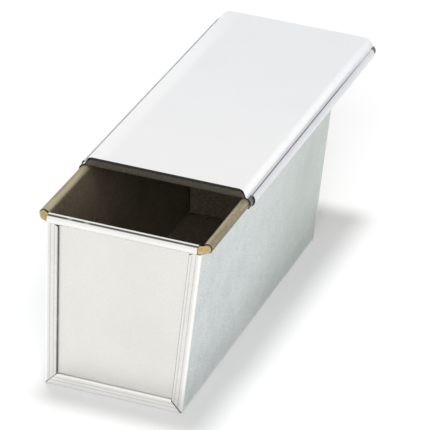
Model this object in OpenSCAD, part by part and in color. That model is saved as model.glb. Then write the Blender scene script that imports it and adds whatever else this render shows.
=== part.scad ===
// Sliding-lid loaf pan. A tapered sheet trough with two end panels held in folded seams,
// a rim rolled over a wire loop, and a raised lid whose curled edges ride on the side rolls.
// Millimetres, Z up. Origin: centre of the underside. +Y: the end the lid slides out over.

/* [Pan] */
// Length over the end seams
pan_l = 214; // [120:1:360]
// Outside width of the trough at the rim
top_w = 80; // [50:0.5:140]
// Outside width of the trough at the bottom
bottom_w = 72; // [44:0.5:134]
// Height of the rim wire's axis over the table
rim_z = 90.5; // [40:0.5:140]
// Outside radius of the long bottom bends
bottom_r = 1.5; // [1:0.1:4]

/* [Sheet and seams] */
// Sheet thickness of the pan
sheet_t = 0.5; // [0.4:0.05:0.8]
// Width of the folded seam strips on the end faces
seam_w = 6.2; // [5:0.1:9]
// Room left between two folded layers
layer_gap = 0.05; // [0.02:0.01:0.12]
// Cut across the hidden bottom corners of an end panel
panel_clip = 2.7; // [2:0.1:6]
// Open slit between two strips at a bottom corner
miter_slit = 0.6; // [0.2:0.1:1.2]
// Height cut off the inner top corner of a side strip
clip_z = 1.6; // [0.5:0.1:3]
// Width cut off the inner top corner of a side strip
clip_x = 2.4; // [0.5:0.1:4]

/* [Wired rim] */
// Diameter of the rim wire
wire_d = 4; // [2.5:0.1:6]
// Room between the wire and the sheet rolled over it
wire_fit = 0.02; // [0.01:0.01:0.1]
// Bend radius of the wire's axis at the four corners
corner_r = 3.4; // [3:0.1:8]
// Angle the sheet is rolled round the wire
roll_wrap = 300; // [240:5:310]
// Gap where the two ends of the wire meet
butt_gap = 0.6; // [0.2:0.1:2]
// Sideways place of that gap, inside the rear roll
butt_x = 0; // [-30:1:30]
// Height left open between an end roll and what stands under it
under_roll = 0.4; // [0.2:0.1:2]

/* [Lid] */
// Length of the lid
lid_l = 214; // [120:1:360]
// Sheet thickness of the lid
lid_t = 0.5; // [0.4:0.05:0.8]
// Room between the side rolls and the lid's curled edges
lid_play = 0.3; // [0.2:0.05:0.8]
// Height of the raised centre over the crests of the two curls
dome_h = 4.1; // [3:0.1:10]
// Radius of the raised centre's shoulders
shoulder_r = 2.2; // [1:0.1:3]
// Angle of the raised centre's sides to the flat
side_angle = 65; // [50:1:80]
// Bend radius where a side meets its curl
valley_r = 0.6; // [0.4:0.1:1.5]
// Angle below the horizontal, seen from the roll's axis, where the curl folds back
curl_under = 50; // [40:1:70]
// Angle above the horizontal where the folded-back edge ends
hem_top = 50; // [20:1:60]
// Room between the curl and its folded-back edge
hem_gap = 0.1; // [0.06:0.01:0.2]
// Length at each end of the lid that has no folded-back edge
hem_notch = 5; // [3:0.5:12]
// Bend radius of the turned-down ends
end_bend_r = 0.8; // [0.6:0.1:2]
// Height of the turned-down ends over the end rolls
flange_clear = 0.5; // [0.3:0.1:2]
// Gap between a turned-down end and the lid's sides
ear_gap = 0.15; // [0.05:0.05:0.5]
// Distance the lid stands open
lid_open = 58; // [0:1:150]

/* [Hidden] */
arc_step = 10;
wire_fn = 40;
bend_m = 0.75;
fold_r = sheet_t / 2 + layer_gap;
fold_m = fold_r + sheet_t / 2;
// Depth of each layer's middle behind the outermost face of an end
layer_1 = sheet_t / 2;
layer_2 = layer_1 + fold_m;
layer_3 = layer_1 + 2 * fold_m;
layer_4 = layer_3 + sheet_t + layer_gap;
bend_o = bend_m + sheet_t / 2;
// Depth behind an end's outermost face where the plain trough begins
trough_start = bend_o + 0.6;
// Inward places of the two interlocked folds
hem_u = seam_w - fold_m - sheet_t / 2;
hook_m = (layer_4 - layer_2) / 2;
hook_u = sheet_t + layer_gap + sheet_t / 2 + hook_m;
hook_v = (layer_4 + layer_2) / 2;

wall_a = atan((top_w - bottom_w) / 2 / rim_z);
roll_i = wire_d / 2 + wire_fit;
roll_m = roll_i + sheet_t / 2;
roll_o = roll_i + sheet_t;
// Rounded, so that the pieces of the wire meet exactly
roll_x = round(100 * (wall_mid_x(rim_z + sin(wall_a) * roll_m) + cos(wall_a) * roll_m)) / 100;
wire_y = pan_l / 2 - layer_4 + roll_m;
end_roll_x = roll_x - corner_r - 0.1;
side_roll_y = wire_y - corner_r;
// The strips and bare wall ends stop under the end rolls
strip_top = rim_z - roll_o - under_roll;

curl_i = roll_o + lid_play;
curl_m = curl_i + lid_t / 2;
// Angle on the roll where a side runs into its curl
curl_start = 78;
valley_c = [roll_x, rim_z] + (curl_m + valley_r) * [cos(curl_start), sin(curl_start)];
valley = valley_c - valley_r * [sin(side_angle), cos(side_angle)];
flat_z = rim_z + curl_m + dome_h;
side_top_x = valley[0] - (flat_z - valley[1]) / tan(side_angle);
flat_x = side_top_x - shoulder_r * tan(side_angle / 2);
lid_fold = (lid_t + hem_gap) / 2;
end_bend_m = end_bend_r + lid_t / 2;
end_bend_o = end_bend_r + lid_t;
flange_z = rim_z + roll_o + flange_clear;

bright = [0.82, 0.83, 0.84];
bright_end = [0.88, 0.88, 0.86];
wire_color = [0.80, 0.68, 0.40];
lid_color = [0.90, 0.91, 0.92];

// Middle of the side wall's sheet at a height
function wall_mid_x(z) = bottom_w / 2 + z * tan(wall_a) - sheet_t / 2 / cos(wall_a);
function unit(v) = v / norm(v);
function left_of(v) = [-v[1], v[0]];
function reversed(p) = [for (i = [len(p) - 1:-1:0]) p[i]];
// The line p without its first a and last b points
function trimmed(p, a, b) = [for (i = [a:len(p) - 1 - b]) p[i]];
function flipped(p) = [for (q = p) [-q[0], q[1]]];

// Points on an arc from angle a0 to a1
function arc(c, r, a0, a1) =
    let (n = ceil(abs(a1 - a0) / arc_step))
    [for (i = [0:n]) let (a = a0 + (a1 - a0) * i / n) c + r * [cos(a), sin(a)]];

// The line p moved sideways by d, with mitred corners
function beside(p, d) = [
    for (i = [0:len(p) - 1])
        let (
            a = i == 0 ? unit(p[1] - p[0]) : unit(p[i] - p[i - 1]),
            b = i == len(p) - 1 ? a : unit(p[i + 1] - p[i]),
            n = left_of(unit(a + b))
        )
        p[i] + n * d / (n * left_of(a))
];

// A sheet of thickness t whose middle follows p
module sheet(p, t) {
    polygon(concat(beside(p, t / 2), reversed(beside(p, -t / 2))));
}

module along_y(y0, y1) {
    translate([0, y1, 0]) rotate([90, 0, 0]) linear_extrude(height = y1 - y0) children();
}

module along_x(x0, x1) {
    translate([x0, 0, 0]) rotate([90, 0, 90]) linear_extrude(height = x1 - x0) children();
}

// Frame of the right side strip: x against the fold, y into the pan, z up the wall
module on_side_wall() {
    translate([bottom_w / 2, -pan_l / 2, 0]) rotate([0, wall_a, 0]) children();
}

// Right half of the trough's section, from the bottom bend up the wall
function trough_half() =
    let (
        bend = bottom_r - sheet_t / 2,
        back = bend * tan((90 - wall_a) / 2),
        c = [wall_mid_x(sheet_t / 2) - back, sheet_t / 2 + bend]
    )
    arc(c, bend, -90, -wall_a);

// Wall up to the height z
function wall_path(z) = concat(trough_half(), [[wall_mid_x(z), z]]);
// Wall with its rolled edge
function rolled_path() =
    concat(trough_half(), arc([roll_x, rim_z], roll_m, 180 - wall_a, 180 - wall_a - roll_wrap));
function both_sides(p) = concat(reversed(flipped(p)), p);

// Outermost layer of a seam with its hem, seen as depth against width
function hem_path() = concat(
    [[trough_start, layer_1]],
    arc([bend_o, bend_o], bend_m, -90, -180),
    arc([layer_2, hem_u], fold_m, 180, 0),
    [[layer_3, hook_u + layer_gap]]
);
// Edge of an end panel hooked into that hem
function hook_path() = concat(
    arc([hook_v, hook_u], hook_m, 0, -180),
    [[layer_2, hem_u - layer_gap]]
);
function swapped(p) = [for (q = p) [-q[1], q[0]]];

// Bottom part of an end face between the two corner bisectors, moved in by d
module bottom_zone(d) {
    half = bottom_w / 2;
    lean = (1 - sin(wall_a)) / cos(wall_a);
    side = d / cos(atan(lean));
    h = seam_w * 2;
    along_y(-pan_l / 2 - 1, -pan_l / 2 + 5)
        polygon([
            [-half + side - lean, -1],
            [half - side + lean, -1],
            [half - side - lean * h, h],
            [-half + side + lean * h, h]
        ]);
}

// Outer part of an end face beside the right corner bisector, moved out by d
module side_zone(d) {
    half = bottom_w / 2;
    lean = (1 - sin(wall_a)) / cos(wall_a);
    side = d / cos(atan(lean));
    h = seam_w * 2;
    along_y(-pan_l / 2 - 1, -pan_l / 2 + 5)
        polygon([
            [half + side + lean, -1],
            [half - h * lean + side, h],
            [half - h * lean + side, rim_z],
            [top_w, rim_z],
            [top_w, -1]
        ]);
}

module side_strip() {
    h = strip_top / cos(wall_a);
    difference() {
        intersection() {
            on_side_wall() linear_extrude(height = h) sheet(swapped(hem_path()), sheet_t);
            side_zone(miter_slit / 2);
        }
        on_side_wall()
            translate([0, layer_4, 0]) rotate([90, 0, 0]) linear_extrude(height = layer_4 + 1)
                polygon([
                    [-seam_w - 1, h - clip_z - clip_z / clip_x],
                    [-seam_w + clip_x + clip_x / clip_z, h + 1],
                    [-seam_w - 1, h + 1]
                ]);
    }
}

module bottom_strip() {
    intersection() {
        translate([0, -pan_l / 2, 0])
            along_x(-bottom_w / 2, bottom_w / 2) sheet(hem_path(), sheet_t);
        bottom_zone(miter_slit / 2);
    }
}

module front_strips() {
    side_strip();
    mirror([1, 0, 0]) side_strip();
    bottom_strip();
}

module body_wrap() {
    color(bright) union() {
        along_y(-side_roll_y, side_roll_y) sheet(both_sides(rolled_path()), sheet_t);
        for (s = [0, 1])
            mirror([0, s, 0]) {
                along_y(-pan_l / 2 + trough_start, -side_roll_y)
                    sheet(both_sides(wall_path(strip_top)), sheet_t);
                front_strips();
            }
    }
}

// Hooked edges of the front end panel along both sides and the bottom
module panel_edges() {
    slit = layer_gap * 4;
    for (s = [0, 1])
        mirror([s, 0, 0])
            intersection() {
                on_side_wall()
                    linear_extrude(height = strip_top) sheet(swapped(hook_path()), sheet_t);
                side_zone(slit);
            }
    intersection() {
        translate([0, -pan_l / 2, 0])
            along_x(-bottom_w / 2, bottom_w / 2) sheet(hook_path(), sheet_t);
        bottom_zone(slit);
    }
}

module end_panel() {
    plate_top = rim_z - roll_o;
    inset = hook_u / cos(wall_a);
    low = bottom_w / 2 - inset + hook_u * tan(wall_a);
    high = bottom_w / 2 - inset + strip_top * tan(wall_a);
    y_out = -pan_l / 2 + layer_4 - sheet_t / 2;
    intersection() {
        union() {
            panel_edges();
            along_y(y_out, y_out + sheet_t)
                polygon([
                    [-low, hook_u], [low, hook_u], [high, strip_top],
                    [high, plate_top], [-high, plate_top], [-high, strip_top]
                ]);
            translate([0, -pan_l / 2, 0])
                along_x(-end_roll_x, end_roll_x)
                    sheet(
                        concat(
                            [[layer_4, plate_top]],
                            arc([layer_4 - roll_m, rim_z], roll_m, 0, roll_wrap)
                        ),
                        sheet_t
                    );
        }
        along_y(-pan_l / 2 - 2 * wire_d, 0)
            polygon([
                [-bottom_w / 2 + panel_clip, 0],
                [bottom_w / 2 - panel_clip, 0],
                [bottom_w / 2, panel_clip],
                [top_w / 2, rim_z + 2 * roll_o],
                [-top_w / 2, rim_z + 2 * roll_o],
                [-bottom_w / 2, panel_clip]
            ]);
    }
}

module front_end_panel() {
    color(bright_end) end_panel();
}

module rear_end_panel() {
    color(bright_end) mirror([0, 1, 0]) end_panel();
}

module wire_rod(from, axis, length) {
    translate(from) rotate(axis) cylinder(h = length, d = wire_d, $fn = wire_fn);
}

module rim_wire() {
    x_in = roll_x - corner_r;
    y_in = wire_y - corner_r;
    color(wire_color) union() {
        for (s = [-1, 1])
            wire_rod([s * roll_x, y_in, rim_z], [90, 0, 0], 2 * y_in);
        wire_rod([-x_in, -wire_y, rim_z], [0, 90, 0], 2 * x_in);
        wire_rod([-x_in, wire_y, rim_z], [0, 90, 0], x_in + butt_x - butt_gap / 2);
        wire_rod([butt_x + butt_gap / 2, wire_y, rim_z], [0, 90, 0], x_in - butt_x - butt_gap / 2);
        for (q = [0:3]) {
            sx = (q == 0 || q == 3) ? 1 : -1;
            sy = q < 2 ? 1 : -1;
            translate([sx * x_in, sy * y_in, rim_z])
                rotate([0, 0, q * 90])
                    rotate_extrude(angle = 90, $fn = wire_fn)
                        translate([corner_r, 0]) circle(d = wire_d, $fn = wire_fn);
        }
    }
}

// Right half of the lid's section from the flat round the roll
function lid_half() = concat(
    arc([flat_x, flat_z - shoulder_r], shoulder_r, 90, 90 - side_angle),
    arc(valley_c, valley_r, 270 - side_angle, 180 + curl_start),
    trimmed(arc([roll_x, rim_z], curl_m, curl_start, -curl_under), 1, 1)
);
// The same with the edge folded back up on the outside
function hemmed_half() = concat(
    lid_half(),
    arc(
        [roll_x, rim_z] + (curl_m + lid_fold) * [cos(curl_under), -sin(curl_under)],
        lid_fold, 180 - curl_under, 360 - curl_under
    ),
    trimmed(arc([roll_x, rim_z], curl_m + 2 * lid_fold, -curl_under, hem_top), 1, 0)
);

// End flange of the lid: the flat turned down over the end roll
module lid_end() {
    translate([0, -lid_l / 2, 0])
        along_x(-flat_x, flat_x)
            sheet(
                concat(
                    arc([end_bend_o, flat_z - end_bend_m], end_bend_m, 90, 180),
                    [[lid_t / 2, flange_z]]
                ),
                lid_t
            );
    // Ears of the flange beside the bent part, under the shoulders
    room = lid_t / 2 / sin(side_angle) + ear_gap;
    low = side_top_x + (flat_z - flange_z) / tan(side_angle) - room;
    mid_z = flat_z - shoulder_r;
    mid = side_top_x + shoulder_r / tan(side_angle) - room;
    along_y(-lid_l / 2, -lid_l / 2 + lid_t)
        polygon([
            [-low, flange_z], [low, flange_z], [mid, mid_z],
            [flat_x, flat_z - lid_t], [flat_x, flat_z - end_bend_m],
            [-flat_x, flat_z - end_bend_m], [-flat_x, flat_z - lid_t], [-mid, mid_z]
        ]);
}

module lid() {
    color(lid_color) translate([0, lid_open, 0]) union() {
        hem_y = lid_l / 2 - hem_notch;
        along_y(-hem_y, hem_y) sheet(both_sides(hemmed_half()), lid_t);
        difference() {
            for (s = [0, 1])
                mirror([0, s, 0])
                    along_y(-lid_l / 2, -hem_y) sheet(both_sides(lid_half()), lid_t);
            for (s = [-1, 1])
                translate([0, s * lid_l / 2, flat_z])
                    cube([2 * flat_x, 2 * end_bend_o, 4 * lid_t], center = true);
        }
        lid_end();
        mirror([0, 1, 0]) lid_end();
    }
}

body_wrap();
front_end_panel();
rear_end_panel();
rim_wire();
lid();
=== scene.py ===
"""Looks of the sliding-lid loaf pan: bent sheets, folded seams, wired rim, studio."""
import math

import bmesh
import bpy
from mathutils import Matrix, Vector


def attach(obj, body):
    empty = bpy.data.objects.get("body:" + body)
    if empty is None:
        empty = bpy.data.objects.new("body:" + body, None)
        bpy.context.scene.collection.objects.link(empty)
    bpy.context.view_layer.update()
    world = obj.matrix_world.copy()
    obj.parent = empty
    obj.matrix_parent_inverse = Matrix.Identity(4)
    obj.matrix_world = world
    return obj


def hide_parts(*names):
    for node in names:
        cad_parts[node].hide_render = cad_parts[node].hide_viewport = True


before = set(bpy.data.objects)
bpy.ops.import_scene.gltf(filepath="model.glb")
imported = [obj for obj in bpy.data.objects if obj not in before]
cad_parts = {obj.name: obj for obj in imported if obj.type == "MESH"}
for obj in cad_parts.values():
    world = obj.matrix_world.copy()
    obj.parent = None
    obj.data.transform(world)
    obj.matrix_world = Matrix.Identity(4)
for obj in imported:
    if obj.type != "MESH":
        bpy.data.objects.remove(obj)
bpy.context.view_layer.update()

MM = 0.001
# Degrees of a bend between two edges, and the angle from which an edge is drawn sharp
BEND_STEP = 6.0
SHARP_ANGLE = math.radians(32)
# Millimetres within which points are merged, cut or counted as being at a place
MERGE, CUT_REACH, CLOSE = 1e-4, 1e-5, 1e-3
WIRE_SIDES, WIRE_CORNER_STEPS, END_BEND_STEPS = 32, 12, 9

# Sizes in millimetres, as the part's source has them
PAN_L, TOP_W, BOTTOM_W, RIM_Z, BOTTOM_R = 214.0, 80.0, 72.0, 90.5, 1.5
SHEET_T, SEAM_W, LAYER_GAP = 0.5, 6.2, 0.05
PANEL_CLIP, MITER_SLIT, CLIP_Z, CLIP_X = 2.7, 0.6, 1.6, 2.4
WIRE_D, WIRE_FIT, CORNER_R, ROLL_WRAP, BUTT_GAP = 4.0, 0.02, 3.4, 300.0, 0.6
UNDER_ROLL = 0.4
LID_L, LID_T, LID_PLAY, DOME_H, SHOULDER_R = 214.0, 0.5, 0.3, 4.1, 2.2
SIDE_ANGLE, VALLEY_R, CURL_START, CURL_UNDER = 65.0, 0.6, 78.0, 50.0
HEM_TOP, HEM_GAP, HEM_NOTCH = 50.0, 0.1, 5.0
END_BEND_R, FLANGE_CLEAR, EAR_GAP, LID_OPEN = 0.8, 0.5, 0.15, 58.0

# Filled corners at the lid's far end: the angle on the curl where they end, how round they
# are, and the power by which the end's bend dies out towards the curl
CORNER_FOOT, CORNER_ROUND, CORNER_FADE = 55.0, 2.2, 6
# Rows of edges across the lid there, by their distance from its end
END_BEND_ROW, CORNER_ROWS = 0.4, (2.2, 3.1, 4.0)
# Room kept inside the part's box there
CORNER_SLACK = 0.01
# Far ears of the lid: reach of the foot beside the flat, and of the points above it
EAR_FOOT, EAR_STEPS = 3.3, (3.0, 2.2, 1.1, 0)

# Places in a sheet's list of finishes, after the plain one, which is 0
TROUGH_ROLL, TROUGH_SEAM, TROUGH_FOOT = 1, 2, 3
PANEL_ROLL = 1
LID_HEM, LID_END_FOLD, LID_FLANGE, LID_TAB, LID_HEM_TOP, LID_LEFT = 1, 2, 3, 4, 5, 6
# Each finish has three slots: the outer face, the inner face and the cut edge
SLOTS = 3

HALF_L = PAN_L / 2
FOLD_M = SHEET_T + LAYER_GAP
# Depth of the middle of a seam's layers behind the outermost face of an end. The third
# layer lies where the strip's own fold puts it
LAYER_1 = SHEET_T / 2
LAYER_2 = LAYER_1 + FOLD_M
LAYER_4 = LAYER_1 + 3 * FOLD_M
# Fold between a wall and its strip, and the depth where the plain trough begins
BEND_M = 0.75
BEND_O = BEND_M + SHEET_T / 2
WALL_STUB = 0.6
TROUGH_START = BEND_O + WALL_STUB
# Inward places of the two interlocked folds
HEM_U = SEAM_W - FOLD_M - SHEET_T / 2
HOOK_M = (LAYER_4 - LAYER_2) / 2
HOOK_U = SHEET_T + LAYER_GAP + SHEET_T / 2 + HOOK_M
WALL_A = math.atan((TOP_W - BOTTOM_W) / 2 / RIM_Z)
ROLL_M = WIRE_D / 2 + WIRE_FIT + SHEET_T / 2
ROLL_O = ROLL_M + SHEET_T / 2
END_ROLL_GAP = 0.1


def wall_mid_x(z):
    """Middle of the side wall's sheet at a height."""
    return BOTTOM_W / 2 + z * math.tan(WALL_A) - SHEET_T / 2 / math.cos(WALL_A)


ROLL_X = round(wall_mid_x(RIM_Z + math.sin(WALL_A) * ROLL_M) + math.cos(WALL_A) * ROLL_M, 2)
WIRE_Y = HALF_L - LAYER_4 + ROLL_M
END_ROLL_X = ROLL_X - CORNER_R - END_ROLL_GAP
SIDE_ROLL_Y = WIRE_Y - CORNER_R
STRIP_TOP = RIM_Z - ROLL_O - UNDER_ROLL
CURL_M = ROLL_O + LID_PLAY + LID_T / 2
LID_FOLD = (LID_T + HEM_GAP) / 2
END_BEND_M = END_BEND_R + LID_T / 2
END_BEND_O = END_BEND_R + LID_T
FLAT_Z = RIM_Z + CURL_M + DOME_H
FLANGE_Z = RIM_Z + ROLL_O + FLANGE_CLEAR


def polar(centre, radius, degrees):
    """A point of a section, on a circle round another point."""
    a = math.radians(degrees)
    return Vector((centre[0] + radius * math.cos(a), centre[1] + radius * math.sin(a)))


def verts_of(geom):
    return [g for g in geom if isinstance(g, bmesh.types.BMVert)]


def edges_of(geom):
    return [g for g in geom if isinstance(g, bmesh.types.BMEdge)]


def transform(bm, matrix):
    bmesh.ops.transform(bm, matrix=matrix, verts=bm.verts[:])


def bent_line(bm, at, heading, moves):
    """Runs (length,) and bends (radius, degrees), one after another, left turns positive.

    Each vertex keeps its distance from the start in the value "across".
    """
    across = bm.verts.layers.float.new("across")
    start = tip = bm.verts.new((at[0], at[1], 0))
    angle = math.radians(heading)
    for move in moves:
        if len(move) == 1:
            tip = bmesh.ops.extrude_vert_indiv(bm, verts=[tip])["verts"][0]
            step = Vector((math.cos(angle), math.sin(angle), 0)) * move[0]
            bmesh.ops.translate(bm, verts=[tip], vec=step)
        else:
            radius, turn = move
            side = Vector((-math.sin(angle), math.cos(angle), 0)) * math.copysign(radius, turn)
            spun = bmesh.ops.spin(
                bm, geom=[tip], cent=tip.co + side, axis=(0, 0, 1),
                angle=math.radians(turn), steps=max(2, math.ceil(abs(turn) / BEND_STEP)))
            tip = verts_of(spun["geom_last"])[0]
            angle += math.radians(turn)
    before, here, gone = None, start, 0.0
    while here:
        here[across] = gone
        ahead = [e.other_vert(here) for e in here.link_edges if e.other_vert(here) != before]
        before, here = here, ahead[0] if ahead else None
        gone += (here.co - before.co).length if here else 0


def draw_out(bm, stations):
    """Pulls the section into a sheet along local Z, with an edge at each station."""
    bmesh.ops.translate(bm, verts=bm.verts[:], vec=(0, 0, stations[0]))
    edges = bm.edges[:]
    for a, b in zip(stations, stations[1:]):
        grown = bmesh.ops.extrude_edge_only(bm, edges=edges)["geom"]
        edges = edges_of(grown)
        bmesh.ops.translate(bm, verts=verts_of(grown), vec=(0, 0, b - a))


def cut(bm, point, normal):
    """Cuts off what lies on the side that the normal points to."""
    bmesh.ops.bisect_plane(
        bm, geom=bm.verts[:] + bm.edges[:] + bm.faces[:], dist=CUT_REACH,
        plane_co=point, plane_no=Vector(normal).normalized(), clear_outer=True)


def drop_faces(bm, wanted):
    """Takes out the faces whose middle passes the test."""
    faces = [f for f in bm.faces if wanted(f.calc_center_median())]
    bmesh.ops.delete(bm, geom=faces, context="FACES")


def face_towards(bm, near, direction):
    """Turns the whole sheet so that its face nearest to a point looks one way."""
    bmesh.ops.remove_doubles(bm, verts=bm.verts[:], dist=MERGE)
    bmesh.ops.recalc_face_normals(bm, faces=bm.faces[:])
    bm.normal_update()
    near = Vector(near)
    probe = min(bm.faces, key=lambda f: (f.calc_center_median() - near).length)
    if probe.normal.dot(Vector(direction)) < 0:
        bmesh.ops.reverse_faces(bm, faces=bm.faces[:])


def paint(bm, finish, wanted=None):
    """Gives a finish to the faces whose middle passes the test, or to all of them."""
    for f in bm.faces:
        if wanted is None or wanted(f.calc_center_median()):
            f.material_index = SLOTS * finish


def mirror_x(bm):
    """Adds the left half to the right one."""
    bmesh.ops.mirror(bm, geom=bm.verts[:] + bm.edges[:] + bm.faces[:],
                     matrix=Matrix(), merge_dist=MERGE, axis="X")


def assemble(name, parts, thickness, finishes, body, node):
    """Joins the sheets of one piece, gives them their gauge and hands them to the frame.

    Each finish is (outer face, inner face, cut edge), which is what the gauge's offsets pick.
    """
    mesh = bpy.data.meshes.new(name)
    whole = bmesh.new()
    for part in parts:
        part.to_mesh(mesh)
        part.free()
        whole.from_mesh(mesh)
    bmesh.ops.scale(whole, verts=whole.verts[:], vec=(MM, MM, MM))
    whole.to_mesh(mesh)
    whole.free()
    for finish in finishes:
        for skin in finish:
            mesh.materials.append(skin)
    piece = bpy.data.objects.new(name, mesh)
    bpy.context.scene.collection.objects.link(piece)
    if thickness:
        gauge = piece.modifiers.new("gauge", "SOLIDIFY")
        gauge.thickness = thickness * MM
        gauge.offset = 0
        gauge.use_even_offset = True
        gauge.material_offset = 1
        gauge.material_offset_rim = 2
        shown = piece.evaluated_get(bpy.context.evaluated_depsgraph_get())
        piece.data = bpy.data.meshes.new_from_object(shown)
        piece.data.name = name
        piece.modifiers.clear()
        bpy.data.meshes.remove(mesh)
    piece.data.polygons.foreach_set("use_smooth", [True] * len(piece.data.polygons))
    piece.data.set_sharp_from_angle(angle=SHARP_ANGLE)
    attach(piece, body)
    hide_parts(node)


ALONG_Y = Matrix.Rotation(math.radians(90), 4, "X")
ALONG_X = Matrix(((0, 0, 1, 0), (1, 0, 0, 0), (0, 1, 0, 0), (0, 0, 0, 1)))
# Stands a section at the front end, drawn out from left to right
ACROSS_FRONT = Matrix.Translation((0, -HALF_L, 0)) @ ALONG_X


def flip(axis):
    """Mirror image along one axis."""
    return Matrix.Scale(-1, 4, Vector([float(axis == a) for a in "XYZ"]))


def on_side_wall():
    """From a part drawn upright to the right edge of the front end."""
    return (Matrix.Translation((BOTTOM_W / 2, -HALF_L, 0))
            @ Matrix.Rotation(WALL_A, 4, "Y"))


# Sideways lean, for each step up, of the line that halves a bottom corner
CORNER_LEAN = (1 - math.sin(WALL_A)) / math.cos(WALL_A)


def miter_cut(bm, slit, keep_strip):
    """Cuts at the right corner's middle line: keeps the side's part, or the bottom's."""
    way = 1 if keep_strip == "side" else -1
    off = slit / math.cos(math.atan(CORNER_LEAN)) * way
    cut(bm, (BOTTOM_W / 2 + off, 0, 0), (-way, 0, -way * CORNER_LEAN))


def side_fold(start, heading, moves, height):
    """A folded strip drawn upright, to be put at the front end's right side."""
    bm = bmesh.new()
    bent_line(bm, start, heading, moves)
    draw_out(bm, [0, height])
    return bm


def bottom_fold(start, heading, moves, slit):
    """A folded strip along the front end's bottom edge, mitred at both corners."""
    bm = bmesh.new()
    bent_line(bm, start, heading, moves)
    draw_out(bm, [-BOTTOM_W / 2, BOTTOM_W / 2])
    transform(bm, ACROSS_FRONT)
    for _ in range(2):
        miter_cut(bm, slit, "bottom")
        transform(bm, flip("X"))
    return bm


# Trough sheet

def near_roll(c):
    """In a side roll."""
    return math.hypot(abs(c.x) - ROLL_X, c.z - RIM_Z) < ROLL_O


def trough():
    """Bottom and both sides, with the long edges rolled over the wire."""
    bend = BOTTOM_R - SHEET_T / 2
    back = bend * math.tan((math.pi / 2 - WALL_A) / 2)
    bend_x = wall_mid_x(SHEET_T / 2) - back
    foot = polar((bend_x, SHEET_T / 2 + bend), bend, -math.degrees(WALL_A))
    rise = (polar((ROLL_X, RIM_Z), ROLL_M, 180 - math.degrees(WALL_A)) - foot).length
    low = (STRIP_TOP - foot.y) / math.cos(WALL_A)
    bm = bmesh.new()
    bent_line(bm, (0, SHEET_T / 2), 0, [
        (bend_x,), (bend, 90 - math.degrees(WALL_A)), (low,), (rise - low,),
        (ROLL_M, -ROLL_WRAP)])
    end = HALF_L - TROUGH_START
    draw_out(bm, [-end, -SIDE_ROLL_Y, SIDE_ROLL_Y, end])
    transform(bm, ALONG_Y)
    drop_faces(bm, lambda c: abs(c.y) > SIDE_ROLL_Y and c.z > STRIP_TOP)
    mirror_x(bm)
    face_towards(bm, (0, 0, 0), (0, 0, -1))
    paint(bm, TROUGH_ROLL, near_roll)
    return bm


# From the trough out and round the end panel's hook
HEM_MOVES = [(TROUGH_START - BEND_O,), (BEND_M, -90), (HEM_U - BEND_O,),
             (FOLD_M, -180), (HEM_U - HOOK_U - LAYER_GAP,)]


def side_strip(mirrors):
    """The trough's edge folded over an end panel's side, its inner top corner clipped."""
    height = STRIP_TOP / math.cos(WALL_A)
    bm = side_fold((-LAYER_1, TROUGH_START), -90, HEM_MOVES, height)
    cut(bm, (-SEAM_W, 0, height - CLIP_Z), (-CLIP_Z, 0, CLIP_X))
    transform(bm, on_side_wall())
    miter_cut(bm, MITER_SLIT / 2, "side")
    return mirrored(bm, mirrors, (BOTTOM_W / 2, -HALF_L, RIM_Z / 2))


def bottom_strip(mirrors):
    """The same along an end panel's bottom."""
    bm = bottom_fold((TROUGH_START, LAYER_1), 180, HEM_MOVES, MITER_SLIT / 2)
    return mirrored(bm, mirrors, (0, -HALF_L, SEAM_W / 2))


def mirrored(bm, mirrors, probe):
    """Puts a front part on the ends and sides named, its outer face still outwards."""
    probe, out = Vector(probe), Vector((0, -1, 0))
    for axis in mirrors:
        transform(bm, flip(axis))
        probe, out = flip(axis) @ probe, flip(axis) @ out
    face_towards(bm, probe, out)
    return bm


# End panels

# How far out from the plate's middle its roll begins
ROLL_PROUD = 0.05
# Places on the hooks, in from the corner and up from the table, that tell their outer face
HOOK_PROBE_X, HOOK_PROBE_Z = 2, 3


def end_plate(mirrors):
    """An end panel without its side and bottom hooks, its top rolled over the wire."""
    bm = bmesh.new()
    bent_line(bm, (LAYER_4, HOOK_U), 90, [
        (STRIP_TOP - HOOK_U,), (RIM_Z - STRIP_TOP,), (ROLL_M, ROLL_WRAP)])
    draw_out(bm, [-END_ROLL_X, END_ROLL_X])
    transform(bm, ACROSS_FRONT)
    edge_x = BOTTOM_W / 2 - HOOK_U / math.cos(WALL_A)
    for way in (1, -1):
        cut(bm, (way * edge_x, 0, 0), (way, 0, -math.tan(WALL_A)))
    for way in (1, -1):
        cut(bm, (way * (BOTTOM_W / 2 - PANEL_CLIP), 0, 0), (way, 0, -1))
    bm = mirrored(bm, mirrors, (0, -HALF_L + LAYER_4, RIM_Z / 2))
    paint(bm, PANEL_ROLL, lambda c: abs(c.y) > HALF_L - LAYER_4 + ROLL_PROUD or c.z > RIM_Z)
    return bm


# From a hook's edge, inside the strip, to the bend towards the plate
HOOK_MOVES = [(HEM_U - LAYER_GAP - HOOK_U,), (HOOK_M, 180)]


def side_hook(mirrors):
    """The plate's side edge, hooked into the strip."""
    bm = side_fold((LAYER_GAP - HEM_U, LAYER_2), 0, HOOK_MOVES, STRIP_TOP)
    transform(bm, on_side_wall())
    miter_cut(bm, LAYER_GAP, "side")
    return mirrored(bm, mirrors, (BOTTOM_W / 2 - HOOK_PROBE_X, -HALF_L + LAYER_2, RIM_Z / 2))


def bottom_hook(mirrors):
    """The plate's bottom edge, hooked into the strip."""
    bm = bottom_fold((LAYER_2, HEM_U - LAYER_GAP), -90, HOOK_MOVES, LAYER_GAP)
    return mirrored(bm, mirrors, (0, -HALF_L + LAYER_2, HOOK_PROBE_Z))


# Rim wire

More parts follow.
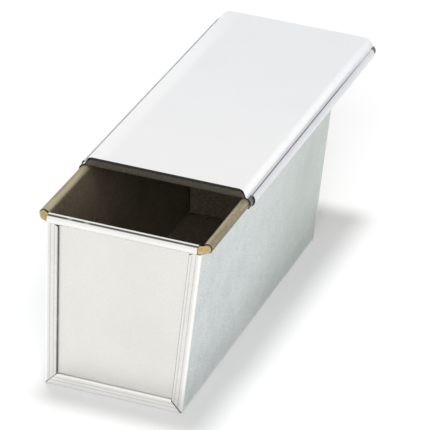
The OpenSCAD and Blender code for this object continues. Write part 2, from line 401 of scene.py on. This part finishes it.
def wire_loop():
    """One wire in a rounded rectangle, its two ends almost meeting in the rear roll."""
    x_in, y_in = ROLL_X - CORNER_R, WIRE_Y - CORNER_R
    bm = bmesh.new()
    ring = bmesh.ops.create_circle(
        bm, cap_ends=False, segments=WIRE_SIDES, radius=WIRE_D / 2)
    stand = Matrix.Translation((BUTT_GAP / 2, WIRE_Y, RIM_Z)) @ Matrix.Rotation(
        math.radians(90), 4, "Y")
    bmesh.ops.transform(bm, matrix=stand, verts=ring["verts"])
    edges = bm.edges[:]
    heading = Vector((1, 0, 0))
    for run, turn in ((x_in - BUTT_GAP / 2, 1), (2 * y_in, 1), (2 * x_in, 1), (2 * y_in, 1),
                      (x_in - BUTT_GAP / 2, 0)):
        grown = bmesh.ops.extrude_edge_only(bm, edges=edges)["geom"]
        edges, verts = edges_of(grown), verts_of(grown)
        bmesh.ops.translate(bm, verts=verts, vec=heading * run)
        if not turn:
            continue
        middle = sum((v.co for v in verts), Vector()) / len(verts)
        inward = Vector((heading.y, -heading.x, 0))
        spun = bmesh.ops.spin(
            bm, geom=edges, cent=middle + inward * CORNER_R, axis=(0, 0, -1),
            angle=math.radians(90), steps=WIRE_CORNER_STEPS)
        edges = edges_of(spun["geom_last"])
        heading = inward
    bmesh.ops.remove_doubles(bm, verts=bm.verts[:], dist=MERGE)
    bmesh.ops.holes_fill(bm, edges=[e for e in bm.edges if e.is_boundary], sides=0)
    bmesh.ops.recalc_face_normals(bm, faces=bm.faces[:])
    return bm


# Lid

# Where the folded-back edge lies: past the curl's own radius, on the roll's outer side
HEM_PAST, HEM_SIDE = 0.05, 1.5
# Degrees on the roll above which the folded-back edge shows its cut
HEM_TOP_BAND = 44
# Unhemmed end of the curl, painted dark as painted shade: its side and top; then how far down the
# end's bend its painted shade and the plate's finish begin
TAB_SIDE, TAB_TOP = 1.0, 0.9
FOLD_SHARE, PLATE_SHARE = 0.15, 0.98


def corner_top(flat_x, x):
    """Height of the filled corner: from the flat down to the curl, in one round."""
    foot = polar((ROLL_X, RIM_Z), CURL_M, CORNER_FOOT)
    share = min(max((x - flat_x) / (foot.x - flat_x), 0), 1)
    return foot.y + (FLAT_Z - foot.y) * (1 - share ** CORNER_ROUND)


def fill_corner(bm, flat_x, half):
    """At the far end the valley beside the raised centre is filled to a rounded corner."""
    foot_x = polar((ROLL_X, RIM_Z), CURL_M, CORNER_FOOT).x
    for v in bm.verts:
        room = (v.co.y - half + HEM_NOTCH) / (HEM_NOTCH - END_BEND_O)
        if room > 0 and flat_x - CORNER_SLACK < v.co.x < foot_x and v.co.z > RIM_Z:
            room = min(room, 1.0)
            share = room * room * (3 - 2 * room)
            aside = max(v.co.x - flat_x, 0) / (foot_x - flat_x)
            turned = max(v.co.y - half + END_BEND_O, 0) / END_BEND_O
            turned *= 1 - aside ** CORNER_FADE
            top = corner_top(flat_x, v.co.x) - CORNER_SLACK
            top -= END_BEND_M * (1 - math.sqrt(max(1 - turned ** 2, 0)))
            v.co.z += (top - v.co.z) * share
            v.co.y -= LID_T / 2 * turned
        if v.co.x > flat_x - CORNER_SLACK:
            v.co.y = min(v.co.y, half - CORNER_SLACK)


def lid_sheet():
    """Raised centre, valleys, curls with their edges folded back, and turned-down ends."""
    valley_c = polar((ROLL_X, RIM_Z), CURL_M + VALLEY_R, CURL_START)
    valley = polar(valley_c, VALLEY_R, 270 - SIDE_ANGLE)
    side = math.radians(SIDE_ANGLE)
    flat_x = (valley.x - (FLAT_Z - valley.y) / math.tan(side)
              - SHOULDER_R * math.tan(side / 2))
    shoulder = polar((flat_x, FLAT_Z - SHOULDER_R), SHOULDER_R, 90 - SIDE_ANGLE)
    bm = bmesh.new()
    bent_line(bm, (0, FLAT_Z), 0, [
        (flat_x,), (SHOULDER_R, -SIDE_ANGLE), ((valley - shoulder).length,),
        (VALLEY_R, SIDE_ANGLE + CURL_START - 90), (CURL_M, -CURL_START - CURL_UNDER),
        (LID_FOLD, 180), (CURL_M + 2 * LID_FOLD, CURL_UNDER + HEM_TOP)])
    half = LID_L / 2
    bend_y, hem_y = half - END_BEND_O, half - HEM_NOTCH
    far_end = [-half + d for d in (0, END_BEND_ROW, END_BEND_O, *CORNER_ROWS, HEM_NOTCH)]
    draw_out(bm, far_end + [hem_y, bend_y, half])
    transform(bm, ALONG_Y)

    def folded_back(c):
        return (math.hypot(c.x - ROLL_X, c.z - RIM_Z) > CURL_M + HEM_PAST
                and c.x > ROLL_X + HEM_SIDE)

    drop_faces(bm, lambda c: abs(c.y) > hem_y and folded_back(c))
    fill_corner(bm, flat_x, half)
    drop_faces(bm, lambda c: abs(c.y) > bend_y and c.x < flat_x)
    for way in (1, -1):
        ends = [e for e in bm.edges if e.is_boundary and all(
            abs(v.co.y - way * bend_y) < CLOSE and v.co.x < flat_x + CLOSE for v in e.verts)]
        spun = bmesh.ops.spin(
            bm, geom=ends, cent=(0, way * bend_y, FLAT_Z - END_BEND_M), axis=(1, 0, 0),
            angle=math.radians(-90 * way), steps=END_BEND_STEPS)
        ends = edges_of(spun["geom_last"])
        grown = bmesh.ops.extrude_edge_only(bm, edges=ends)["geom"]
        bmesh.ops.translate(bm, verts=verts_of(grown),
                            vec=(0, 0, FLANGE_Z - FLAT_Z + END_BEND_M))
    mirror_x(bm)
    bmesh.ops.translate(bm, verts=bm.verts[:], vec=(0, LID_OPEN, 0))
    face_towards(bm, (0, LID_OPEN, FLAT_Z), (0, 0, 1))

    def from_end(c):
        return half - abs(c.y - LID_OPEN)

    def hem(c):
        return from_end(c) > HEM_NOTCH and folded_back(Vector((abs(c.x), c.y, c.z)))

    def hem_top(c):
        slope = math.tan(math.radians(HEM_TOP_BAND))
        return hem(c) and c.z - RIM_Z > slope * (abs(c.x) - ROLL_X)

    def tab(c):
        return (from_end(c) < HEM_NOTCH and abs(c.x) > ROLL_X + TAB_SIDE
                and c.z < RIM_Z + CURL_M * TAB_TOP)

    def bent_end(c, share):
        return (from_end(c) < END_BEND_O and abs(c.x) < flat_x
                and c.z < FLAT_Z - END_BEND_M * share)

    # The lines on each half are painted highlights and painted shade; the hem is painted greyer
    # as painted shade; the tab and the lower part of the end's bend are painted dark as painted
    # shade; the plate carries a painted reflection of the dark inside
    paint(bm, LID_LEFT, lambda c: c.x < 0)
    paint(bm, LID_HEM, hem)
    paint(bm, LID_HEM_TOP, hem_top)
    paint(bm, LID_TAB, tab)
    paint(bm, LID_END_FOLD, lambda c: bent_end(c, FOLD_SHARE))
    paint(bm, LID_FLANGE, lambda c: bent_end(c, PLATE_SHARE))
    return bm, flat_x


def flange_ear(flat_x, x_way, y_way):
    """The turned-down end's plate beside the bent part, under one shoulder.

    At the far end it follows the filled corner instead of the shoulder.
    """
    slope = math.tan(math.radians(SIDE_ANGLE))
    room = LID_T / 2 / math.sin(math.radians(SIDE_ANGLE)) + EAR_GAP
    top_x = flat_x + SHOULDER_R * math.tan(math.radians(SIDE_ANGLE / 2))
    outline = [(flat_x, FLANGE_Z), (top_x + (FLAT_Z - FLANGE_Z) / slope - room, FLANGE_Z),
               (top_x + SHOULDER_R / slope - room, FLAT_Z - SHOULDER_R),
               (flat_x, FLAT_Z - LID_T)]
    if y_way > 0:
        drop = END_BEND_M + LID_T / 2
        outline = [(flat_x, FLANGE_Z), (flat_x + EAR_FOOT, FLANGE_Z)] + [
            (flat_x + step, corner_top(flat_x, flat_x + step) - drop) for step in EAR_STEPS]
    bm = bmesh.new()
    bm.verts.layers.float.new("across")
    y = LID_OPEN + y_way * (LID_L / 2 - LID_T / 2)
    rim = [bm.verts.new((x_way * x, y, z)) for x, z in outline]
    bmesh.ops.contextual_create(bm, geom=rim)
    face_towards(bm, (x_way * flat_x, y, FLANGE_Z), (0, y_way, 0))
    paint(bm, LID_FLANGE)
    return bm


# Finishes: shared shader groups first, then one function for every sheet

def add(tree, kind, ins=(), **settings):
    """A shader node; each of its inputs is set, or linked when it is given a socket."""
    node = tree.nodes.new("ShaderNode" + kind)
    for key, value in settings.items():
        setattr(node, key, value)
    for key, value in dict(ins).items():
        if isinstance(value, bpy.types.NodeSocket):
            tree.links.new(value, node.inputs[key])
        else:
            node.inputs[key].default_value = value
    return node


def calc(tree, operation, a, b=0.0):
    return add(tree, "Math", {0: a, 1: b}, operation=operation).outputs[0]


def ease(tree, value, low, high):
    """0 below low, 1 above high, smooth between them."""
    return add(tree, "MapRange", {"Value": value, "From Min": low, "From Max": high},
               interpolation_type="SMOOTHSTEP").outputs["Result"]


def tint(tree, share, a, b):
    """Colour a, with its share of colour b."""
    return add(tree, "Mix", {0: share, 6: a, 7: b}, data_type="RGBA").outputs[2]


def noise(tree, place, scale, detail=2.0, rough=0.5, warp=0.0):
    return add(tree, "TexNoise", {"Vector": place, "Scale": scale, "Detail": detail,
                                  "Roughness": rough, "Distortion": warp}).outputs["Fac"]


def stretched(tree, place, scale, turn=(0, 0, 0)):
    """The place turned, and scaled so that a small scale draws a pattern out."""
    return add(tree, "Mapping", {"Vector": place, "Scale": scale,
                                 "Rotation": turn}).outputs["Vector"]


def shared_group(name, wanted, given):
    """An empty group with its named sockets, and its two end nodes."""
    tree = bpy.data.node_groups.new(name, "ShaderNodeTree")
    for label, kind, start in wanted:
        socket = tree.interface.new_socket(label, in_out="INPUT", socket_type=kind)
        if start is not None:
            socket.default_value = start
    for label, kind in given:
        tree.interface.new_socket(label, in_out="OUTPUT", socket_type=kind)
    have = tree.nodes.new("NodeGroupInput").outputs
    give = tree.nodes.new("NodeGroupOutput").inputs
    return tree, have, give


FLOAT, VECTOR = "NodeSocketFloat", "NodeSocketVector"
# Shade of soil against the metal's deeper tone, how far roughness varies with the mottle,
# and the depth of the grain's relief in metres
SOIL_SHADE, ROUGH_SPREAD, RELIEF_DEPTH = 0.86, 0.08, 0.00004


def sheet_grain():
    """Mottle of the rolled metal, and its relief with streaks along the mill's direction."""
    tree, have, give = shared_group(
        "sheet_grain", [("Place", VECTOR, None), ("Fineness", FLOAT, 900.0)],
        [("Mottle", FLOAT), ("Relief", FLOAT)])
    speck = noise(tree, have["Place"], have["Fineness"], 3.0, 0.65)
    cloud = noise(tree, have["Place"], calc(tree, "MULTIPLY", have["Fineness"], 0.07), 2.0)
    mottle = calc(tree, "ADD", calc(tree, "MULTIPLY", speck, 0.8),
                  calc(tree, "MULTIPLY", cloud, 0.2))
    drawn = stretched(tree, have["Place"], (1.0, 0.02, 1.0))
    streaks = noise(tree, drawn, calc(tree, "MULTIPLY", have["Fineness"], 2.2), 2.0)
    tree.links.new(ease(tree, mottle, 0.36, 0.64), give["Mottle"])
    tree.links.new(calc(tree, "ADD", speck, calc(tree, "MULTIPLY", streaks, 0.4)),
                   give["Relief"])
    return tree


def edge_wear():
    """Where folds and cut edges have been rubbed, broken up in patches."""
    tree, have, give = shared_group(
        "edge_wear", [("Place", VECTOR, None), ("Reach", FLOAT, 0.0006),
                      ("Patches", FLOAT, 160.0)], [("Mask", FLOAT)])
    soft = add(tree, "Bevel", {"Radius": have["Reach"]}, samples=4).outputs["Normal"]
    plain = add(tree, "NewGeometry").outputs["Normal"]
    match = add(tree, "VectorMath", {0: soft, 1: plain}, operation="DOT_PRODUCT").outputs["Value"]
    bent = ease(tree, calc(tree, "SUBTRACT", 1.0, match), 0.004, 0.08)
    patches = ease(tree, noise(tree, have["Place"], have["Patches"], 3.0, 0.6), 0.38, 0.58)
    tree.links.new(calc(tree, "MULTIPLY", bent, patches), give["Mask"])
    return tree


def handling():
    """Broad wiped smudges and a few fine scratches."""
    tree, have, give = shared_group(
        "handling", [("Place", VECTOR, None), ("Spread", FLOAT, 26.0)],
        [("Smudge", FLOAT), ("Scratch", FLOAT)])
    wiped = stretched(tree, have["Place"], (1.0, 0.6, 0.8), (0.2, 0.3, 0.6))
    smudge = ease(tree, noise(tree, wiped, have["Spread"], 4.0, 0.55, 0.4), 0.48, 0.72)
    rare = ease(tree, noise(tree, have["Place"], 45.0, 1.0), 0.52, 0.62)
    lines = []
    for turn, scale in (((0.3, 0.1, 0.5), 310.0), ((0.9, 0.5, -0.7), 260.0)):
        hair = noise(tree, stretched(tree, have["Place"], (1.0, 0.015, 0.4), turn), scale, 1.0)
        off = calc(tree, "ABSOLUTE", calc(tree, "SUBTRACT", hair, 0.5))
        thin = calc(tree, "SUBTRACT", 1.0, ease(tree, off, 0.0, 0.012))
        lines.append(calc(tree, "MULTIPLY", thin, rare))
    tree.links.new(smudge, give["Smudge"])
    tree.links.new(calc(tree, "MAXIMUM", *lines), give["Scratch"])
    return tree


def painted_line():
    """A thin band of painted light or shade that runs along a fold, at one distance across the
    sheet.
    """
    tree, have, give = shared_group(
        "painted_line", [("Across", FLOAT, 0.0), ("At", FLOAT, 0.0), ("Width", FLOAT, 0.3)],
        [("Mask", FLOAT)])
    off = calc(tree, "ABSOLUTE", calc(tree, "SUBTRACT", have["Across"], have["At"]))
    share = calc(tree, "DIVIDE", off, have["Width"])
    tree.links.new(calc(tree, "SUBTRACT", 1.0, ease(tree, share, 0.3, 1.0)), give["Mask"])
    return tree


GRAIN, WEAR, HANDLING, PAINTED_LINE = sheet_grain(), edge_wear(), handling(), painted_line()


def use(tree, group, ins):
    return add(tree, "Group", ins, node_tree=group).outputs


def rgb(colour):
    return (*colour, 1.0)


def line_strength(tree, place, fade):
    """Painted lines of light and shade are broken up a little, and may fade along the sheet."""
    strength = ease(tree, noise(tree, place, 90.0, 2.0), 0.1, 0.4)
    if fade:
        start, end, share = fade
        y = add(tree, "SeparateXYZ", {0: place}).outputs["Y"]
        lost = calc(tree, "MULTIPLY", ease(tree, y, start, end), share)
        strength = calc(tree, "MULTIPLY", strength, calc(tree, "SUBTRACT", 1.0, lost))
    return strength


def metal_sheet(name, light, deep, worn, roughness, metallic=1.0, fineness=900.0,
                relief=0.2, reach=0.0006, wear=0.6, smudge=0.12, lines=(), far=None,
                fade=None):
    """Finish of one sheet, from its light and deep tones and the tone of worn places.

    far is (start, end, deep, light): the Y values between which the tones change to these; it
    paints shade that darkens a sheet towards the far end.
    lines are bands of painted highlight and painted shade: (distance across, width, strength,
    colour), in millimetres.
    fade is (start, end, share): the Y values between which the lines lose that share.
    """
    skin = bpy.data.materials.new(name)
    skin.use_nodes = True
    tree = skin.node_tree
    shader = tree.nodes["Principled BSDF"]
    shader.inputs["Metallic"].default_value = metallic
    place = tree.nodes.new("ShaderNodeTexCoord").outputs["Object"]
    grain = use(tree, GRAIN, {"Place": place, "Fineness": fineness})
    rubbed = use(tree, WEAR, {"Place": place, "Reach": reach})["Mask"]
    touched = use(tree, HANDLING, {"Place": place})
    tone = tint(tree, grain["Mottle"], rgb(deep), rgb(light))
    if far:
        start, end, far_deep, far_light = far
        y = add(tree, "SeparateXYZ", {0: place}).outputs["Y"]
        tone = tint(tree, ease(tree, y, start, end), tone,
                    tint(tree, grain["Mottle"], rgb(far_deep), rgb(far_light)))
    soiled = [c * SOIL_SHADE for c in deep]
    tone = tint(tree, calc(tree, "MULTIPLY", touched["Smudge"], smudge), tone, rgb(soiled))
    tone = tint(tree, calc(tree, "MULTIPLY", touched["Scratch"], smudge), tone, rgb(worn))
    tone = tint(tree, calc(tree, "MULTIPLY", rubbed, wear), tone, rgb(worn))
    if lines:
        across = add(tree, "Attribute", attribute_name="across").outputs["Fac"]
        shown = line_strength(tree, place, fade)
        for at, width, strength, colour in lines:
            mark = use(tree, PAINTED_LINE, {"Across": across, "At": at, "Width": width})["Mask"]
            mark = calc(tree, "MULTIPLY", calc(tree, "MULTIPLY", mark, shown), strength)
            tone = tint(tree, mark, tone, rgb(colour))
    rough = calc(tree, "ADD", roughness - ROUGH_SPREAD / 2,
                 calc(tree, "MULTIPLY", grain["Mottle"], ROUGH_SPREAD))
    rough = calc(tree, "ADD", rough, calc(tree, "MULTIPLY", touched["Smudge"], ROUGH_SPREAD))
    rough = calc(tree, "SUBTRACT", rough, calc(tree, "MULTIPLY", rubbed, ROUGH_SPREAD))
    bump = add(tree, "Bump", {"Height": grain["Relief"], "Strength": relief,
                              "Distance": RELIEF_DEPTH}).outputs["Normal"]
    tree.links.new(tone, shader.inputs["Base Color"])
    tree.links.new(rough, shader.inputs["Roughness"])
    tree.links.new(bump, shader.inputs["Normal"])
    return skin


# Finishes of the trough

# Walls and bottom: the trough's steel painted darker and bluer than its seam strips as painted
# shade, darker still towards the far end as painted shade, with a painted highlight along the
# bottom bend
side_steel_painted_shade = metal_sheet(
    "side_steel_painted_shade", (0.69, 0.725, 0.72), (0.50, 0.54, 0.535), (0.85, 0.87, 0.88), 0.42,
    fineness=1100, relief=0.5, lines=((36.0, 0.9, 0.8, (0.95, 0.96, 0.96)),),
    far=(-0.05, 0.10, (0.43, 0.48, 0.455), (0.54, 0.58, 0.55)))
# Seam strips: a painted highlight along the fold's round, two thin lines of painted shade
# standing in for pressed grooves, and painted shade in the crease beside the panel
seam_steel = metal_sheet(
    "seam_steel", (0.79, 0.785, 0.755), (0.73, 0.725, 0.70), (0.93, 0.93, 0.91), 0.36,
    wear=0.8, reach=0.0012,
    lines=((1.2, 1.1, 0.7, (0.97, 0.97, 0.95)), (3.2, 0.35, 0.5, (0.42, 0.41, 0.38)),
           (5.3, 0.35, 0.5, (0.45, 0.44, 0.40)), (7.35, 1.1, 0.9, (0.07, 0.075, 0.08))))
# Bottom strips: the seam strips' steel painted lighter as painted light, with thin lines of
# painted shade for grooves and a faint one at the crease
foot_seam_painted_light = metal_sheet(
    "foot_seam_painted_light", (0.95, 0.945, 0.92), (0.91, 0.905, 0.88), (0.97, 0.97, 0.96), 0.36,
    wear=0.8, reach=0.0012,
    lines=((3.2, 0.35, 0.4, (0.5, 0.49, 0.46)), (5.0, 0.35, 0.4, (0.5, 0.49, 0.46)),
           (7.6, 0.7, 0.3, (0.45, 0.44, 0.42))))
# Side rolls show the coated face; the light line along their top is a painted highlight and the
# dark line along their underside is painted shade
side_roll = metal_sheet(
    "side_roll", (0.30, 0.248, 0.14), (0.18, 0.15, 0.085), (0.46, 0.41, 0.29), 0.42,
    metallic=0.5, fineness=420, relief=0.3, wear=0.5, smudge=0.5,
    lines=((127.6, 2.2, 0.5, (0.50, 0.44, 0.30)), (134.0, 2.9, 0.7, (0.11, 0.088, 0.055))))
bake_coating = metal_sheet(
    "bake_coating", (0.255, 0.21, 0.15), (0.135, 0.108, 0.077), (0.28, 0.23, 0.165), 0.42,
    metallic=0.0, fineness=620, relief=0.5, wear=0.1, smudge=0.3)
cut_edge = metal_sheet(
    "cut_edge", (0.17, 0.165, 0.16), (0.10, 0.098, 0.095), (0.3, 0.3, 0.29), 0.5)

# Finishes of the end panels

end_steel = metal_sheet(
    "end_steel", (0.775, 0.765, 0.73), (0.74, 0.73, 0.695), (0.9, 0.89, 0.87), 0.36,
    relief=0.12)
# The end rolls' bare face; the dark line along the roll is a painted reflection
end_roll_steel = metal_sheet(
    "end_roll_steel", (0.88, 0.88, 0.85), (0.85, 0.85, 0.82), (0.95, 0.95, 0.94), 0.26,
    relief=0.03, lines=((93.95, 0.8, 1.0, (0.10, 0.095, 0.085)),))

# Finishes of the lid

# The lid's top is painted darker towards the far end as painted shade, and its painted lines fade
# there
def lid_top(name, lines):
    return metal_sheet(
        name, (0.875, 0.875, 0.88), (0.85, 0.85, 0.855), (0.97, 0.97, 0.98), 0.34,
        relief=0.06, reach=0.0018, wear=0.5, smudge=0.06,
        far=(-0.04, 0.15, (0.80, 0.81, 0.83), (0.825, 0.835, 0.85)), lines=lines,
        fade=(0.09, 0.165, 0.7))


# Right half: a painted highlight on the shoulder, a band of painted shade, and a near-black
# painted shadow where the curl meets the folded-back edge. Left half: a broad painted highlight
# and a grey line of painted shade
lid_right = lid_top("lid_right", (
    (42.0, 2.9, 0.75, (0.97, 0.97, 0.98)), (45.6, 1.5, 0.75, (0.55, 0.58, 0.61)),
    (46.3, 0.6, 0.85, (0.12, 0.13, 0.145))))
lid_left = lid_top("lid_left", (
    (38.5, 9.0, 0.6, (0.95, 0.95, 0.955)), (46.3, 0.6, 0.6, (0.52, 0.53, 0.54))))
# Folded-back edge of the curl: the lid's steel painted greyer as painted shade, with a line of
# painted shade along it
lid_hem_painted_shade = metal_sheet(
    "lid_hem_painted_shade", (0.74, 0.745, 0.77), (0.66, 0.665, 0.69), (0.93, 0.93, 0.94), 0.36,
    lines=((52.6, 0.5, 0.5, (0.3, 0.3, 0.32)),))
# Lower part of the lid's end bend: near-black as painted shade, in place of the bend's bright
# steel
lid_end_fold_painted_shade = metal_sheet(
    "lid_end_fold_painted_shade", (0.012, 0.011, 0.009), (0.007, 0.006, 0.005), (0.05, 0.045, 0.04), 0.5,
    metallic=0.2, wear=0.15)
# Outer face of the turned-down ends and ears: dark brown as a painted reflection of the pan's
# dark inside
lid_flange_painted_reflection = metal_sheet(
    "lid_flange_painted_reflection", (0.12, 0.108, 0.082), (0.078, 0.068, 0.053), (0.15, 0.135, 0.11), 0.42,
    metallic=0.3, relief=0.4, wear=0.1)
# Near-black cut edges of the lid: painted shade that draws the dark line along its outline
lid_edge = metal_sheet(
    "lid_edge", (0.03, 0.027, 0.022), (0.015, 0.013, 0.011), (0.12, 0.11, 0.09), 0.5,
    metallic=0.2, wear=0.15)
# Unhemmed end of the curl: the lid's steel painted dark grey as painted shade
lid_tab_painted_shade = metal_sheet(
    "lid_tab_painted_shade", (0.17, 0.175, 0.16), (0.10, 0.105, 0.095), (0.36, 0.36, 0.34), 0.4)

# Finish of the wire

brass_wire = metal_sheet(
    "brass_wire", (0.59, 0.46, 0.205), (0.40, 0.30, 0.12), (0.85, 0.80, 0.66), 0.28,
    fineness=600, wear=0.5, smudge=0.3)


# Pieces

# Mirror images that put a front part on the front or the rear end
ENDS = ([], ["Y"])

trough_parts = [trough()]
for end in ENDS:
    sides, foot = (side_strip(end), side_strip(["X"] + end)), bottom_strip(end)
    for strip in sides:
        paint(strip, TROUGH_SEAM)
    paint(foot, TROUGH_FOOT)
    trough_parts += [*sides, foot]
assemble("trough_sheet", trough_parts, SHEET_T,
         [(side_steel_painted_shade, bake_coating, cut_edge), (side_steel_painted_shade, side_roll, cut_edge),
          (seam_steel, seam_steel, cut_edge), (foot_seam_painted_light, foot_seam_painted_light, cut_edge)],
         "pan", "body_wrap")
for end, which in zip(ENDS, ("front", "rear")):
    assemble(which + "_end_sheet",
             [end_plate(end), side_hook(end), side_hook(["X"] + end), bottom_hook(end)],
             SHEET_T,
             [(end_steel, bake_coating, cut_edge), (end_steel, end_roll_steel, cut_edge)],
             "pan", which + "_end_panel")
assemble("rim_wire_loop", [wire_loop()], 0, [(brass_wire,)], "pan", "rim_wire")
lid, lid_flat_x = lid_sheet()
ears = [flange_ear(lid_flat_x, a, b) for a in (1, -1) for b in (1, -1)]
assemble("lid_sheet", [lid] + ears, LID_T,
         [(lid_right, bake_coating, lid_edge), (lid_hem_painted_shade, lid_hem_painted_shade, lid_edge),
          (lid_end_fold_painted_shade, bake_coating, lid_edge), (lid_flange_painted_reflection, bake_coating, lid_edge),
          (lid_tab_painted_shade, bake_coating, lid_edge), (lid_hem_painted_shade, lid_hem_painted_shade, lid_hem_painted_shade),
          (lid_left, bake_coating, lid_edge)],
         "lid", "lid")


# Studio

# Camera fitted to the photograph: where it looks from and at, how far off, and its lens,
# as the pixels that a millimetre takes at that distance
LOOKS_FROM, ROLLED = (17.17, 25.92), 4.42
LOOKS_AT, AWAY = (2.386, 31.727, 40), 1804.8
PIXELS_PER_MM, FRAME_PIXELS, SENSOR_W = 1.92, 430, 36
# World as the object is lit by it, and as it is seen and mirrored
WORLD_LIGHT, WORLD_SEEN = 0.5, 1.0
# Floor: half its width in metres, room under the pan, its grey and its own faint glow
FLOOR_HALF, FLOOR_DROP, FLOOR_GREY, FLOOR_GLOW = 4, 0.2, 0.72, 0.05


def aim(azimuth, elevation, roll):
    """Turn of a camera that looks from this direction, and the direction itself."""
    az, el = math.radians(azimuth), math.radians(elevation)
    back = Vector((math.sin(az) * math.cos(el), -math.cos(az) * math.cos(el), math.sin(el)))
    right = Vector((math.cos(az), math.sin(az), 0))
    up = back.cross(right)
    r = math.radians(roll)
    across = right * math.cos(r) + up * math.sin(r)
    upward = up * math.cos(r) - right * math.sin(r)
    return Matrix((across, upward, back)).transposed().to_4x4(), back


turn, back = aim(*LOOKS_FROM, ROLLED)
camera = bpy.data.objects.new("camera", bpy.data.cameras.new("camera"))
camera.matrix_world = Matrix.Translation(Vector(LOOKS_AT) * MM + back * (AWAY * MM)) @ turn
camera.data.sensor_width = SENSOR_W
camera.data.lens = PIXELS_PER_MM * AWAY / FRAME_PIXELS * SENSOR_W
bpy.context.scene.collection.objects.link(camera)
bpy.context.scene.camera = camera


def lamp(name, azimuth, elevation, strength, spread):
    """A distant lamp, kept out of mirrored light so that it leaves no glare on flat metal."""
    light = bpy.data.objects.new(name, bpy.data.lights.new(name, "SUN"))
    light.data.energy = strength
    light.data.angle = math.radians(spread)
    light.matrix_world = aim(azimuth, elevation, 0)[0]
    light.visible_glossy = False
    bpy.context.scene.collection.objects.link(light)


lamp("key", 30, 50, 0.4, 12)
lamp("overhead", -150, 79, 1.8, 12)
lamp("front_fill", 12, 27, 1.7, 30)


def straight_seen(tree):
    """1 for rays from the camera, mirrored ones and ones through glass, otherwise 0."""
    path = tree.nodes.new("ShaderNodeLightPath").outputs
    seen = calc(tree, "MAXIMUM", path["Is Camera Ray"], path["Is Glossy Ray"])
    return calc(tree, "MAXIMUM", seen, path["Is Transmission Ray"])


world = bpy.data.worlds.new("studio")
bpy.context.scene.world = world
world.use_nodes = True
air = world.node_tree.nodes["Background"]
air.inputs["Color"].default_value = (1, 1, 1, 1)
level = add(world.node_tree, "MapRange", {
    "Value": straight_seen(world.node_tree), "To Min": WORLD_LIGHT, "To Max": WORLD_SEEN})
world.node_tree.links.new(level.outputs[0], air.inputs["Strength"])

bm = bmesh.new()
bmesh.ops.create_grid(bm, x_segments=1, y_segments=1, size=FLOOR_HALF)
floor_mesh = bpy.data.meshes.new("floor")
bm.to_mesh(floor_mesh)
bm.free()
floor = bpy.data.objects.new("floor", floor_mesh)
floor.location.z = -FLOOR_DROP * MM
bpy.context.scene.collection.objects.link(floor)
paper = bpy.data.materials.new("paper")
paper.use_nodes = True
shader = paper.node_tree.nodes["Principled BSDF"]
shader.inputs["Base Color"].default_value = rgb([FLOOR_GREY] * 3)
shader.inputs["Roughness"].default_value = 1
shader.inputs["Specular IOR Level"].default_value = 0
shader.inputs["Emission Color"].default_value = (1, 1, 1, 1)
# Mirrored rays count twice, so the floor glows more in the metal than to the camera
mirrored_ray = paper.node_tree.nodes.new("ShaderNodeLightPath").outputs["Is Glossy Ray"]
rays = calc(paper.node_tree, "ADD", straight_seen(paper.node_tree), mirrored_ray)
glow = calc(paper.node_tree, "MULTIPLY", rays, FLOOR_GLOW)
paper.node_tree.links.new(glow, shader.inputs["Emission Strength"])
floor_mesh.materials.append(paper)

bpy.context.scene.view_settings.view_transform = "Standard"
